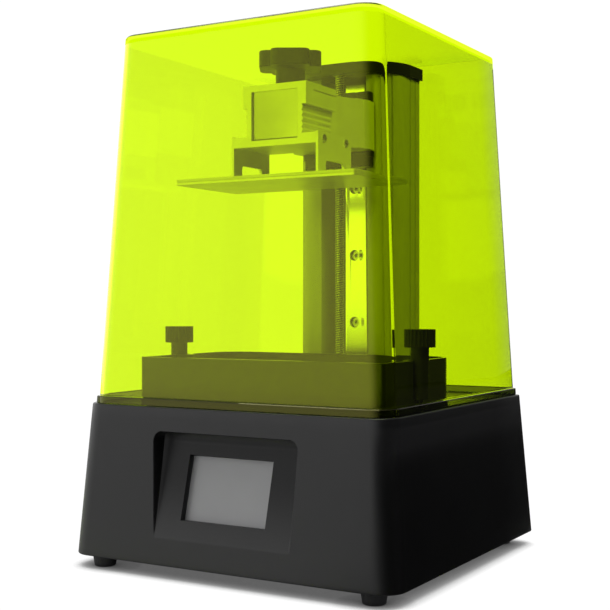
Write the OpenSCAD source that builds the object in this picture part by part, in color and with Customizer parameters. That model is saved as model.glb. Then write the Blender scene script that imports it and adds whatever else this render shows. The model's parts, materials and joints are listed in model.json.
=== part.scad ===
// Desktop resin printer: a black base with a touch screen, a resin vat, a vertical drive column that
// carries the build platform, and a tinted cover that lifts off.
// X is to the right seen from the front, the front faces -Y, and Z = 0 is the table under the feet.

/* [Base] */
// Width of the base at its lower edge
base_w = 290; // [280:1:300]
// Depth of the base at its lower edge
base_d = 278; // [270:1:288]
// Height of the base housing without its feet
base_h = 120.4; // [118:0.2:124]
// How far each side leans in from the lower to the upper edge
base_lean = 8.3; // [6:0.1:9]
// Radius of the two front corners
front_r = 19; // [12:1:24]
// Radius of the two back corners
back_r = 4; // [3:1:6]
// Wall of the moulded housing
shell_t = 3; // [2.5:0.1:3.2]
// Height of the rubber feet
foot_h = 10; // [10:1:14]

/* [Touch screen] */
// Width of the window
screen_w = 75.6; // [70:0.1:78]
// Height of the window along the sloping panel
screen_h = 50.2; // [46:0.1:52]
// Slope of the screen panel from upright
screen_tilt = 14.5; // [13:0.5:16]
// Half width of the recess at its upper edge
recess_top = 65; // [62:1:68]
// Half width of the recess at its lower edge
recess_low = 61; // [58:1:62]

/* [Cover] */
// Height of the lift-off cover
hood_h = 296; // [294:1:300]
// Width of the cover just above its rim
hood_w = 265.6; // [264:0.2:267]
// Width of the cover at its top
hood_top_w = 233.4; // [232:0.2:236]
// Depth of the cover just above its rim
hood_d = 253.2; // [252:0.2:254]
// Depth of the cover at its top
hood_top_d = 231; // [230:1:233]
// Wall of the cover
hood_t = 2.5; // [2:0.1:2.6]

/* [Drive column] */
// Width of the column
column_w = 99; // [98:1:103]
// Height of the column above the deck
column_h = 279; // [278:1:282]
// Width of the open channel in its front
channel_w = 44; // [43:0.5:46]
// Length of the guide rail
rail_l = 266; // [262:1:268]
// Diameter of the lead screw
screw_d = 8; // [7.8:0.1:8]
// Height of the arm's underside above the table in the parked position
arm_z = 341.5; // [341:0.1:342]

/* [Build platform] */
// Width of the build plate
plate_w = 166; // [160:1:168]
// Depth of the build plate
plate_d = 89; // [86:1:89]
// Thickness of the build plate with its surface sheet
plate_t = 4.7; // [4:0.1:5]
// Distance between the two side faces of the clamp head
head_w = 59; // [57:0.5:60]
// Overall diameter of the clamp knob
knob_d = 54.8; // [54:0.2:56]

/* [Vat] */
// Width of the vat
vat_w = 224; // [222:1:226]
// Depth of the vat
vat_d = 130; // [124:1:130]
// Height of the vat above the deck
vat_h = 36; // [35:0.5:37]
// Plan radius of the vat's two front corners
vat_front_r = 4; // [3.5:0.5:6]
// Plan radius of the vat's two back corners
vat_r = 26; // [22:1:27]
// Distance between the two thumbscrews
thumb_pitch = 226; // [225:0.5:227]

/* [Hidden] */

$fn = 48;
eps = 0.01;
gap = 0.3;                       // running space between bodies that only pass each other

// Base
deck_z = foot_h + base_h;
top_w = base_w - 2 * base_lean;
top_d = base_d - 2 * base_lean;
lean_angle = atan(base_lean / base_h);
deck_t = 3;
deck_w = top_w - 23.5;
deck_d = top_d - 21.4;
deck_r = 12;
ledge_w = 7;
ledge_t = 2;
foot_x = base_w / 2 - 24;
foot_y = base_d / 2 - 17;
foot_top_r = 10;
foot_low_r = 8.5;
bottom_t = 1.5;
corner_x = foot_x - 24;
corner_y = foot_y - 12;

// Touch screen: the panel leans back from a line low on the front
panel_y = -base_d / 2 + 3.7;
panel_rise = 30;
panel_z = foot_h + panel_rise;
screen_mid = 30.8;
window_sink = 5.8;
recess_z0 = 20;
recess_z1 = 102;
recess_r = 8;
recess_in = 8;
recess_drop = 17;

// Rear panel, measured up the leaning back wall
rear_w = 210;
rear_h = 84;
rear_mid = 58;
rear_t = 1.5;
fan_x = 58;
fan_s = 60;
fan_t = 15;
fan_hub_r = 13;
fan_axis_z = rear_mid;
switch_x = -72;
switch_w = 19.4;
switch_h = 13.2;
socket_x = -44;
usb_x = -18;
port_z = 58;
rocker_y = -2.4;

// Screen stack and light engine, centred under the build plate
mid_y = -33.5;
lcd_w = 176;
lcd_d = 88;
glass_t = 1.6;
window_w = 172;
window_d = 84;
box_z = 62;
board_t = 1.6;
sink_h = 26;
ribbon_x = -45;
ribbon_w = 28;
ribbon_y = 24.5;
ribbon_t = 0.4;
ribbon_run = ribbon_y - mid_y - window_d / 2 + 3;

// Mainboard
board_x0 = -120;
board_x1 = -6;
board_y0 = 16;
board_y1 = 96;
board_z = foot_h + 9.5;
board_top = board_z + board_t;

// Column, rail and lead screw
column_y0 = 57;
column_y1 = 105;
column_r = 19.5;
column_x = column_w / 2;
channel_y = 95.5;
cap_t = 10;
cap_y0 = 43;
cap_x = column_x + 2.5;
cap_arc_r = 41;
rail_w = 20;
rail_face = 78;
rail_z1 = deck_z + column_h - 3.4;
rail_pitch = 60;
rail_hole_z = 193.3;
screw_y = 50;
screw_r = screw_d / 2;
fit_gap = 0.08;
coupler_r = 9.5;
motor_s = 42.3;
motor_l = 40;
motor_z1 = 95;

// Carriage
arm_h = 41.5;
arm_top = arm_z + arm_h;
arm_mid = arm_z + arm_h / 2;
arm_back = column_y0 - 0.6;
neck_w = 50;
lower_y0 = 43.6;
tongue_w = 28;
tongue_z0 = arm_z + 7.5;
tongue_z1 = arm_z + 30;
block_w = 42;
block_face = 65.5;
block_l = 50;
block_cap = 9.5;
bolt_seat = 12;

// Build head
head_y0 = -59;
head_y1 = -9.5;
head_z0 = 336.2;
head_z1 = 385.5;
waist_z = 367.5;
waist_in = 4;
flange_t = 8.4;
flange_x = 38.3;
bracket_t = 2.2;
foot_w = 10.5;
bracket_d = 54.5;
bracket_mid = head_y0 + bracket_d / 2;
plate_z = 306.7;
surface_t = 2.4;
rib_n = 5;
rib_pitch = 4.55;
rib_r = 2;
rib_l = 46;
pocket_w = 43;
pocket_h = 39.3;
pocket_t = 2;
pocket_gap = 1.3;
pocket_gap_t = 8;
knob_h = 28.2;
knob_grip_z = 15;
knob_turn = 30;
knob_lobe_w = 31.2;
knob_lobe_r = 6;
knob_l = 2 * (knob_lobe_r + sqrt(pow(knob_d / 2 - knob_lobe_r, 2) - pow(knob_lobe_w / 2 - knob_lobe_r, 2)));

// Vat: the tray's foot rim stands on the deck and surrounds the film frame and the film above it
vat_y0 = -88;
vat_y1 = vat_y0 + vat_d;
vat_mid = (vat_y0 + vat_y1) / 2;
vat_wall = 3;
frame_t = 2.1;
film_t = 0.4;
film_w = 180;
film_d = 92;
frame_w = film_w + 15;
frame_d = film_d + 14.2;
frame_r = 9;
tray_z = deck_z + frame_t + film_t;
floor_t = 3.5;
thumb_x = thumb_pitch / 2;
thumb_y = -32;
niche_r = 10;
thumb_shank_r = 7;
thumb_head_r = 12;
thumb_head_t = 13.8;
thumb_head_z = 176.6;

// Cover
rim_h = 6;
rim_out = 2.3;
hood_y_shift = 2.3;
hood_front_r = 18;
hood_back_r = 4;

// ---------- shared shapes ----------

// Rectangle with rounded corners, centred
module round_rect(w, d, r) {
    square([w - 2 * r, d], center = true);
    square([w, d - 2 * r], center = true);
    for (x = [-1, 1], y = [-1, 1])
        translate([x * (w / 2 - r), y * (d / 2 - r)]) circle(r);
}

// Outline of the base and cover: large radii in front, small ones behind
module plan(w, d, rf, rb) {
    translate([-w / 2, rf - d / 2]) square([w, d - rf - rb]);
    translate([rf - w / 2, -d / 2]) square([w - 2 * rf, d / 2]);
    translate([rb - w / 2, 0]) square([w - 2 * rb, d / 2]);
    for (x = [-1, 1]) {
        translate([x * (w / 2 - rf), rf - d / 2]) circle(rf, $fn = 40);
        translate([x * (w / 2 - rb), d / 2 - rb]) circle(rb, $fn = 16);
    }
}

// Solid that tapers between two plans
module taper(z0, z1, w0, d0, w1, d1, rf, rb, y1 = 0) {
    hull() {
        translate([0, 0, z0]) linear_extrude(eps) plan(w0, d0, rf, rb);
        translate([0, y1, z1 - eps]) linear_extrude(eps) plan(w1, d1, rf, rb);
    }
}

module slab(w, d, t, r) { linear_extrude(t) round_rect(w, d, r); }

module at_back() { translate([0, base_d / 2, foot_h]) rotate([lean_angle, 0, 0]) children(); }

module at_front() { translate([0, -base_d / 2, foot_h]) rotate([-lean_angle, 0, 0]) children(); }

module at_screen() { translate([0, panel_y, panel_z]) rotate([-screen_tilt, 0, 0]) children(); }

// Socket-head screw standing on Z = 0, head up, shank down
module cap_screw(r, l, head_r, head_h) {
    difference() {
        union() {
            cylinder(h = head_h, r = head_r);
            translate([0, 0, -l]) cylinder(h = l + eps, r = r);
        }
        translate([0, 0, head_h * 0.4]) cylinder(h = head_h, r = r * 0.85, $fn = 6);
    }
}

// Low round-head screw
module pan_screw(r, l, head_r, head_h) {
    difference() {
        union() {
            intersection() {
                cylinder(h = head_h, r = head_r);
                translate([0, 0, head_h - head_r * 1.6]) sphere(head_r * 1.6);
            }
            translate([0, 0, -l]) cylinder(h = l + eps, r = r);
        }
        translate([0, 0, head_h * 0.45]) cylinder(h = head_h, r = r * 0.7, $fn = 6);
    }
}

// ---------- base ----------

// Pocket in front of the screen panel, grown all round by m
module recess(m) {
    hull() {
        at_front() translate([0, -1 - m, 0]) rotate([90, 0, 0]) linear_extrude(eps) {
            polygon([[-recess_low - m, recess_z0 - m], [recess_low + m, recess_z0 - m],
                     [recess_top + m, recess_z1 - recess_r], [-recess_top - m, recess_z1 - recess_r]]);
            for (x = [-1, 1])
                translate([x * (recess_top - recess_r), recess_z1 - recess_r]) circle(recess_r + m, $fn = 32);
        }
        at_screen() translate([0, m, 0]) rotate([90, 0, 0]) linear_extrude(eps) {
            translate([-recess_low + 1 - m, recess_z0 - panel_rise - m])
                square([2 * (recess_low - 1 + m), 10]);
            for (x = [-1, 1])
                translate([x * (recess_top - recess_in - recess_r), recess_z1 - panel_rise - recess_drop])
                    circle(recess_r + m, $fn = 32);
        }
    }
}

module screen_window(w, h, t) {
    at_screen() translate([-w / 2, -1, screen_mid - h / 2]) cube([w, t + 1, h]);
}

module base_shell() color("#26272a") difference() {
    union() {
        difference() {
            taper(foot_h, deck_z, base_w, base_d, top_w, top_d, front_r, back_r);
            taper(foot_h - 1, deck_z - deck_t - ledge_t, base_w - 2 * shell_t, base_d - 2 * shell_t,
                  top_w - 2 * shell_t, top_d - 2 * shell_t, front_r - shell_t, back_r - shell_t);
        }
        bosses();
        intersection() {
            recess(shell_t);
            taper(foot_h, deck_z - deck_t - ledge_t, base_w - 1, base_d - 1, top_w, top_d, front_r, back_r);
        }
    }
    recess(0);
    screen_window(screen_w, screen_h, shell_t + 2);
    translate([0, 0, deck_z - deck_t]) slab(deck_w, deck_d, deck_t + 1, deck_r);
    translate([0, 0, deck_z - deck_t - ledge_t - 1])
        slab(deck_w - 2 * ledge_w, deck_d - 2 * ledge_w, deck_t, deck_r - 4);
    at_back() translate([-rear_w / 2 + 6, -shell_t - 6, rear_mid - rear_h / 2 + 6])
        cube([rear_w - 12, shell_t + 8, rear_h - 12]);
    at_back() translate([-rear_w / 2, -rear_t, rear_mid - rear_h / 2]) cube([rear_w, rear_t + 2, rear_h]);
    at_back() rear_places() translate([0, 1, 0]) rotate([90, 0, 0]) cylinder(h = shell_t + 3, r = 1.6);
    bottom_places() translate([0, 0, foot_h + bottom_t - 1]) cylinder(h = 9, r = 1.6);
    deck_places() translate([0, 0, -deck_t - ledge_t - 1]) cylinder(h = ledge_t + 2, r = 1.6);
}

// Posts that take the bottom screws, each tied to the side wall by a rib
module bosses() {
    bottom_places() translate([0, 0, foot_h + bottom_t]) cylinder(h = 12, r = 4.5);
    for (x = [-1, 1], y = [-corner_y, 0, corner_y])
        translate([x * (corner_x + base_w / 2 - shell_t) / 2, y, foot_h + bottom_t + 6])
            cube([base_w / 2 - corner_x - 4, 3, 12], center = true);
}

module foot_places() {
    for (x = [-1, 1], y = [-1, 1]) translate([x * foot_x, y * foot_y, 0]) children();
}

module rubber_feet() color("#17171a") foot_places() difference() {
    rotate_extrude()
        polygon([[0, 0], [foot_low_r - 0.8, 0], [foot_low_r, 0.8], [foot_top_r, foot_h], [0, foot_h]]);
    translate([0, 0, -1]) cylinder(h = 5, r = 4);
}

module bottom_places() {
    for (x = [-1, 1], y = [-1, 1]) translate([x * corner_x, y * corner_y, 0]) children();
    for (x = [-1, 1]) translate([x * corner_x, 0, 0]) children();
}

module bottom_plate() color("#3a3b3e") difference() {
    translate([0, 0, foot_h])
        linear_extrude(bottom_t) difference() {
            plan(base_w - 2 * shell_t - 1.5, base_d - 2 * shell_t - 1.5, front_r - shell_t, back_r);
            for (i = [-5:5]) translate([i * 9, mid_y]) round_rect(4, 60, 1.9);
        }
    bottom_places() translate([0, 0, foot_h - 1]) cylinder(h = 4, r = 1.6);
}

module bottom_screws() color("#8d9094") bottom_places()
    translate([0, 0, foot_h]) rotate([180, 0, 0]) pan_screw(1.5, 8, 3, 1.8);

module deck_places() {
    for (x = [-1, 1], y = [-1, 1])
        translate([x * (deck_w / 2 - 4), y * (deck_d / 2 - 12), deck_z]) children();
}

module deck_plate() color("#2b2c2f") difference() {
    translate([0, 0, deck_z - deck_t]) slab(deck_w, deck_d, deck_t, deck_r);
    translate([0, mid_y, deck_z - deck_t - 1])
        linear_extrude(deck_t + 2) square([window_w, window_d], center = true);
    deck_places() translate([0, 0, -deck_t - 1]) {
        cylinder(h = deck_t + 2, r = 1.6);
        translate([0, 0, deck_t - 0.8]) cylinder(h = 4, r = 3.1);
    }
    for (x = [-1, 1]) translate([x * thumb_x, thumb_y, deck_z - deck_t - 1]) cylinder(h = deck_t + 2, r = 4);
    translate([0, screw_y, deck_z - deck_t - 1]) cylinder(h = deck_t + 2, r = 6.5);
    column_places() translate([0, 0, deck_z - deck_t - 1]) cylinder(h = deck_t + 2, r = 2.1);
    motor_corners() translate([0, 0, deck_z - deck_t - 1]) {
        cylinder(h = deck_t + 2, r = 1.6);
        translate([0, 0, deck_t - 0.8]) cylinder(h = 4, r = 3.1);
    }
}

module deck_screws() color("#8d9094") {
    deck_places() translate([0, 0, -1.8]) pan_screw(1.5, 3.2, 2.9, 1.6);
    motor_corners() translate([0, 0, deck_z - 1.8]) pan_screw(1.5, 9, 2.9, 1.6);
}

module screw_inserts() color("#b58a3e") for (x = [-1, 1])
    translate([x * thumb_x, thumb_y, deck_z - deck_t]) difference() {
        union() {
            translate([0, 0, -10]) cylinder(h = 10, r = 4.8);
            cylinder(h = deck_t, r = 4);
        }
        translate([0, 0, -11]) cylinder(h = deck_t + 12, r = 3 + fit_gap);
    }

// ---------- light engine ----------

module lcd_cover_glass() color("#15161c") translate([0, mid_y, deck_z]) slab(lcd_w, lcd_d, glass_t, 3);

module lcd_panel() color("#0c0d12") translate([0, mid_y, deck_z - deck_t])
    linear_extrude(deck_t) square([window_w - 0.6, window_d - 0.6], center = true);

module light_box() color("#1f2023") translate([0, mid_y, box_z]) difference() {
    union() {
        slab(window_w - 6, window_d + 6, deck_z - deck_t - box_z, 4);
        slab(window_w + 8, window_d + 6, 3, 4);
    }
    translate([0, 0, -1]) slab(window_w - 11, window_d + 1, deck_z - box_z, 2);
    translate([ribbon_x - 1, window_d / 2 - 1, deck_z - deck_t - box_z - 1]) cube([ribbon_w + 2, 12, 2]);
}

module led_board() color("#1d5a38") translate([0, mid_y, box_z - board_t])
    slab(window_w, window_d + 4, board_t, 2);

module led_lenses() color("#e8edf2") translate([0, mid_y, box_z])
    for (i = [-4:4], j = [-2:2]) translate([i * 17, j * 15.5, 0]) {
        cylinder(h = 2, r = 6);
        translate([0, 0, 2]) intersection() {
            translate([0, 0, -5]) sphere(8);
            cylinder(h = 6, r = 6);
        }
    }

module heat_sink() color("#a9adb2") translate([0, mid_y, box_z - board_t - sink_h]) {
    translate([0, 0, sink_h - 5]) slab(150, 78, 5, 1.5);
    for (i = [0:12]) translate([-73 + i * 12, -39, 0]) cube([2, 78, sink_h - 5 + eps]);
}

// Flat cable from the back edge of the screen down to its connector on the mainboard
module lcd_ribbon() color("#c98a2a") translate([ribbon_x, 0, 0]) {
    translate([0, ribbon_y - ribbon_run, deck_z - deck_t - 0.5]) cube([ribbon_w, ribbon_run, ribbon_t]);
    translate([0, ribbon_y - ribbon_t, board_top + 8])
        cube([ribbon_w, ribbon_t, deck_z - deck_t - 0.1 - board_top - 8]);
}

// ---------- electronics and rear panel ----------

module board_places() {
    for (x = [board_x0 + 5, board_x1 - 5], y = [board_y0 + 5, board_y1 - 5]) translate([x, y, 0]) children();
}

module mainboard() color("#17452c") {
    difference() {
        translate([board_x0, board_y0, board_z]) cube([board_x1 - board_x0, board_y1 - board_y0, board_t]);
        board_places() translate([0, 0, board_z - 1]) cylinder(h = board_t + 2, r = 1.7);
    }
    translate([0, 0, board_top]) {
        translate([-92, 50, 0]) cube([22, 22, 2.4]);
        translate([-58, 56, 0]) cube([14, 14, 1.8]);
        for (i = [0:3]) translate([-106 + i * 15, 84, 0]) cube([11, 7, 7]);
        translate([ribbon_x - 1.5, ribbon_y - 3.2, 0]) cube([ribbon_w + 3, 6, 8]);
    }
}

module board_posts() color("#c7a24a") board_places() {
    translate([0, 0, foot_h + bottom_t]) cylinder(h = board_z - foot_h - bottom_t, r = 3, $fn = 6);
    translate([0, 0, board_z - 1]) cylinder(h = board_t + 1, r = 1.5);
    translate([0, 0, board_top]) cylinder(h = 1.8, r = 2.8);
}

module rear_places() {
    for (x = [-1, 1], z = [-1, 1])
        translate([x * (rear_w / 2 - 3), 0, rear_mid + z * (rear_h / 2 - 3)]) children();
}

module rear_panel() color("#303134") at_back() difference() {
    translate([-rear_w / 2, -rear_t, rear_mid - rear_h / 2]) cube([rear_w, rear_t, rear_h]);
    for (r = [8:5:28]) translate([fan_x, 1, fan_axis_z]) rotate([90, 0, 0]) difference() {
        cylinder(h = rear_t + 2, r = r + 1.6);
        translate([0, 0, -1]) cylinder(h = rear_t + 4, r = r - 1.6);
        for (a = [45, 135]) rotate(a) translate([-40, -1.5, -1]) cube([80, 3, rear_t + 4]);
    }
    for (x = [-1, 1], z = [-1, 1])
        translate([fan_x + x * 25, 1, fan_axis_z + z * 25]) rotate([90, 0, 0]) cylinder(h = 4, r = 1.7);
    translate([switch_x - switch_w / 2, -3, port_z - switch_h / 2]) cube([switch_w, 6, switch_h]);
    translate([socket_x, 1, port_z]) rotate([90, 0, 0]) cylinder(h = 4, r = 5.5);
    translate([usb_x - 7, -3, port_z - 3.5]) cube([14, 6, 7]);
    rear_places() translate([0, 1, 0]) rotate([90, 0, 0]) cylinder(h = 4, r = 1.6);
}

module rear_panel_screws() color("#8d9094") at_back() {
    rear_places() rotate([-90, 0, 0]) pan_screw(1.5, 5, 2.8, 1.7);
    for (x = [-1, 1], z = [-1, 1])
        translate([fan_x + x * 25, 0, fan_axis_z + z * 25]) rotate([-90, 0, 0]) pan_screw(1.5, 12, 2.8, 1.7);
}

module power_socket() color("#121214") at_back() difference() {
    union() {
        translate([socket_x, -12, port_z]) rotate([-90, 0, 0]) cylinder(h = 12.2, r = 5.4);
        translate([socket_x, 0, port_z]) rotate([-90, 0, 0]) cylinder(h = 1.5, r = 7);
        translate([socket_x - 6, -14, port_z - 6]) cube([12, 4, 12]);
    }
    translate([socket_x, -9, port_z]) rotate([-90, 0, 0]) difference() {
        cylinder(h = 12, r = 3.2);
        cylinder(h = 8.5, r = 1);
    }
}

module switch_body() color("#121214") at_back() difference() {
    union() {
        translate([switch_x - switch_w / 2, -18, port_z - switch_h / 2]) cube([switch_w, 18, switch_h]);
        translate([switch_x - 10.6, 0, port_z - 7.6]) cube([21.2, 1.6, 15.2]);
    }
    translate([switch_x - 8.6, -12, port_z - 5.8]) cube([17.2, 15, 11.6]);
    translate([switch_x - 9.3, rocker_y, port_z]) rotate([0, 90, 0]) cylinder(h = 18.6, r = 1.2 + fit_gap);
}

// Half of the rocker stands out of the switch: it turns about a pin across its middle
module power_rocker() color("#1b1b1e") at_back() translate([switch_x, rocker_y, port_z]) rotate([0, 90, 0]) {
    translate([0, 0, -9.1]) cylinder(h = 18.2, r = 1.2);
    translate([0, 0, -8.2]) cylinder(h = 16.4, r = 2.6);
    translate([0, 0, -8.2]) linear_extrude(16.4)
        polygon([[-4.3, 0], [-4.3, 4.2], [0, 3.9], [4.3, 6.1], [4.3, 0], [2, -2], [-2, -2]]);
}

module usb_socket() color("#b9bcc0") at_back() difference() {
    translate([usb_x - 6.9, -15, port_z - 3.4]) cube([13.8, 15.6, 6.8]);
    difference() {
        translate([usb_x - 6.2, -12, port_z - 2.7]) cube([12.4, 14, 5.4]);
        translate([usb_x - 5.6, -13, port_z + 1.9]) cube([11.2, 11, 1.4]);
    }
}

module fan_frame() color("#141416") at_back() translate([fan_x, -rear_t - fan_t, fan_axis_z])
    rotate([-90, 0, 0]) difference() {
        union() {
            difference() {
                slab(fan_s, fan_s, fan_t, 4);
                translate([0, 0, -1]) cylinder(h = fan_t + 2, r = fan_s / 2 - 2);
            }
            for (a = [0:90:270]) rotate(a + 20) translate([10, -1.5, 0]) cube([fan_s / 2 - 11, 3, 2]);
            cylinder(h = 2, r = fan_hub_r + 1);
            translate([0, 0, 2 - eps]) cylinder(h = 9, r = 2);
        }
        for (x = [-1, 1], z = [-1, 1]) translate([x * 25, z * 25, -1]) cylinder(h = fan_t + 2, r = 1.7);
    }

module fan_rotor() color("#1c1c1f") at_back() translate([fan_x, -rear_t - fan_t, fan_axis_z])
    rotate([-90, 0, 0]) difference() {
        union() {
            translate([0, 0, 3]) cylinder(h = 11, r = fan_hub_r);
            for (i = [0:6]) rotate(i * 360 / 7) translate([fan_hub_r - 1, 0, 8.5])
                rotate([38, 0, 0]) translate([0, -0.8, -5.4]) cube([14.4, 1.6, 10.8]);
        }
        translate([0, 0, 2]) cylinder(h = 9.6, r = 2 + fit_gap);
    }

module touch_panel() color("#808284") at_screen()
    translate([-screen_w / 2 - 3, window_sink, screen_mid - screen_h / 2 - 3])
        cube([screen_w + 6, 2.6, screen_h + 6]);

// Moulded ring that holds the display against the back of the panel
module touch_frame() color("#1d1d20") at_screen() difference() {
    translate([-screen_w / 2 - 7, shell_t, screen_mid - screen_h / 2 - 7])
        cube([screen_w + 14, 3 + window_sink - shell_t, screen_h + 14]);
    translate([-screen_w / 2 - 3, window_sink, screen_mid - screen_h / 2 - 3])
        cube([screen_w + 6, 10, screen_h + 6]);
    translate([-screen_w / 2, 0, screen_mid - screen_h / 2]) cube([screen_w, 10, screen_h]);
}

module display_board() color("#17452c") at_screen() {
    translate([-screen_w / 2 - 7, window_sink + 3, screen_mid - screen_h / 2 - 7])
        cube([screen_w + 14, board_t, screen_h + 14]);
    translate([-10, window_sink + 3 + board_t, screen_mid - 10]) cube([20, 2, 20]);
}

// ---------- column and drive ----------

module column_plan() {
    difference() {
        union() {
            translate([-column_x, column_y0 + column_r]) square([column_w, column_y1 - column_y0 - column_r]);
            translate([-column_x + column_r, column_y0]) square([column_w - 2 * column_r, column_r + 1]);
            for (x = [-1, 1])
                translate([x * (column_x - column_r), column_y0 + column_r]) circle(column_r, $fn = 96);
        }
        translate([-channel_w / 2, column_y0 - 1]) square([channel_w, channel_y - column_y0 + 1]);
        for (x = [-1, 1]) {
            translate([x * 36, 84]) round_rect(16, 26, 4);
            translate([x * (column_x - column_r), column_y0 + column_r])
                rotate(x > 0 ? -47 : 227) translate([column_r, 0]) circle(1.1);
            translate([x * column_x, 86]) circle(1.2);
            translate([x * column_x, 96]) circle(1.2);
        }
    }
}

module z_column() color("#5a5d60") difference() {
    translate([0, 0, deck_z]) linear_extrude(column_h) column_plan();
    for (i = [0:3]) translate([0, column_y1 + 1, rail_hole_z + i * rail_pitch])
        rotate([90, 0, 0]) cylinder(h = column_y1 - channel_y + 2, r = 2.6);
    column_places() translate([0, 0, deck_z - 1]) cylinder(h = 13.5, r = 2);
}

// Places of the four screws that hold the column from under the deck
module column_places() {
    for (x = [-1, 1]) {
        translate([x * 14, 100.2, 0]) children();
        translate([x * 34, 64.5, 0]) children();
    }
}

module column_screws() color("#8d9094") column_places()
    translate([0, 0, deck_z - deck_t]) rotate([180, 0, 0]) cap_screw(2, deck_t + 12, 3.5, 4);

module cap_plan() {
    intersection() {
        translate([-cap_x, cap_y0]) square([2 * cap_x, column_y1 + 1.5 - cap_y0]);
        union() {
            translate([-11, cap_y0]) square([22, 70]);
            for (x = [-1, 1]) translate([x * 11, cap_y0 + cap_arc_r]) circle(cap_arc_r, $fn = 128);
            translate([-cap_x, cap_y0 + cap_arc_r - 4]) square([2 * cap_x, 40]);
        }
    }
}

module column_cap() color("#131315") difference() {
    translate([0, 0, deck_z + column_h]) linear_extrude(cap_t) cap_plan();
    translate([0, screw_y, deck_z + column_h - 1]) cylinder(h = 7, r = 6);
}

module screw_bearing() color("#9a9da1") translate([0, screw_y, deck_z + column_h]) difference() {
    cylinder(h = 6, r = 6);
    translate([0, 0, -1]) cylinder(h = 8, r = screw_r - 1 + fit_gap);
}

module rail_plan() {
    h = channel_y - rail_face;
    translate([0, channel_y]) difference() {
        translate([-rail_w / 2, -h]) square([rail_w, h]);
        for (x = [-1, 1]) translate([x * rail_w / 2, -h * 0.52]) circle(2.4, $fn = 32);
        for (x = [-1, 1]) translate([x * rail_w / 2, -h]) rotate(45) square(1.6, center = true);
    }
}

module rail_holes() {
    for (i = [0:3]) translate([0, rail_face, rail_hole_z + i * rail_pitch]) rotate([-90, 0, 0]) children();
}

module linear_rail() color("#c9ccd0") difference() {
    translate([0, 0, rail_z1 - rail_l]) linear_extrude(rail_l) rail_plan();
    rail_holes() translate([0, 0, -1]) {
        cylinder(h = 9.5, r = 4.75);
        cylinder(h = 20, r = 3);
    }
}

module rail_screws() color("#9a9da1") rail_holes()
    translate([0, 0, 8.5]) rotate([180, 0, 0]) cap_screw(2.5, 16, 4.2, 5);

module motor_corners() {
    for (x = [-1, 1], y = [-1, 1]) translate([x * 15.5, screw_y + y * 15.5, 0]) children();
}

module stepper_motor() color("#2e3033") translate([0, screw_y, motor_z1 - motor_l]) difference() {
    union() {
        slab(motor_s, motor_s, 9, 4);
        translate([0, 0, 9]) slab(motor_s - 0.8, motor_s - 0.8, motor_l - 18, 7);
        translate([0, 0, motor_l - 9]) slab(motor_s, motor_s, 9, 4);
        translate([0, 0, motor_l]) cylinder(h = 2, r = 11);
        translate([-8, motor_s / 2 - 1, 1]) cube([16, 6, 7]);
    }
    translate([0, 0, -1]) cylinder(h = motor_l + 5, r = 2.5 + fit_gap);
    for (x = [-1, 1], y = [-1, 1]) translate([x * 15.5, y * 15.5, motor_l - 5]) cylinder(h = 6, r = 1.5);
}

module motor_posts() color("#a9adb2") motor_corners() translate([0, 0, motor_z1]) difference() {
    union() {
        cylinder(h = deck_z - deck_t - motor_z1, r = 3.4, $fn = 6);
        translate([0, 0, -4]) cylinder(h = 5, r = 1.5);
    }
    translate([0, 0, deck_z - deck_t - motor_z1 - 8]) cylinder(h = 9, r = 1.5);
}

module shaft_coupler() color("#b4b8bc") translate([0, screw_y, motor_z1 + 4]) difference() {
    cylinder(h = 25, r = coupler_r);
    translate([0, 0, -1]) cylinder(h = 12, r = 2.5);
    translate([0, 0, 10]) cylinder(h = 20, r = screw_r);
    for (z = [8, 10.6, 13.2, 15.8]) translate([0, 0, z]) difference() {
        cylinder(h = 0.8, r = coupler_r + 1);
        translate([0, 0, -1]) cylinder(h = 3, r = coupler_r - 2.2);
    }
}

// Lead screw with its turned top end
module lead_screw() color("#b9bdc2") translate([0, screw_y, 0]) {
    translate([0, 0, motor_z1 + 14.5]) cylinder(h = deck_z + column_h - 0.5 - motor_z1 - 14.5, r = screw_r);
    translate([0, 0, deck_z + column_h - 1]) cylinder(h = 6, r = screw_r - 1);
}

module motor_shaft() color("#b9bdc2") translate([0, screw_y, motor_z1 - motor_l + 3])
    cylinder(h = motor_l + 11, r = 2.5);

module end_stop() color("#1b1b1e") {
    translate([channel_w / 2 - 11, column_y0 + 1, deck_z + 20]) cube([11, 5, 14]);
    translate([channel_w / 2 - 13, column_y0 + 2, deck_z + 22]) cube([4, 3, 4]);
    translate([channel_w / 2 - 13, column_y0 + 2, deck_z + 28]) cube([4, 3, 4]);
}

// ---------- carriage ----------

module block_plan() {
    difference() {
        translate([-block_w / 2, block_face]) square([block_w, 25.3]);
        translate([-rail_w / 2 - gap, rail_face - gap]) square([rail_w + 2 * gap, 30]);
        for (x = [-1, 1]) translate([x * block_w / 2, block_face + 13]) circle(1.5, $fn = 24);
    }
}

module guide_block() color("#aeb2b6") difference() {
    translate([0, 0, arm_mid - block_l / 2]) linear_extrude(block_l) block_plan();
    arm_bolt_places() translate([0, 0, -7]) cylinder(h = 9, r = 2.5);
}

module guide_block_caps() color("#1b2a22")
    for (z = [arm_mid - block_l / 2 - block_cap, arm_mid + block_l / 2])
        translate([0, 0, z]) linear_extrude(block_cap) difference() {
            translate([-block_w / 2 + 0.6, block_face + 0.8]) square([block_w - 1.2, 24]);
            translate([-rail_w / 2 - gap, rail_face - gap]) square([rail_w + 2 * gap, 30]);
        }

module arm_bolt_places() {
    for (x = [-1, 1], z = [-1, 1])
        translate([x * 17, block_face, arm_mid + z * 15]) rotate([90, 0, 0]) children();
}

module arm_plan() {
    translate([-neck_w / 2, head_y1 + gap]) square([neck_w, 20]);
    polygon([[-neck_w / 2, 8], [neck_w / 2, 8], [33, 27], [33, 40], [-33, 40], [-33, 27]]);
    translate([0, (27 + arm_back) / 2]) round_rect(75, arm_back - 27, 10);
}

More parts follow.
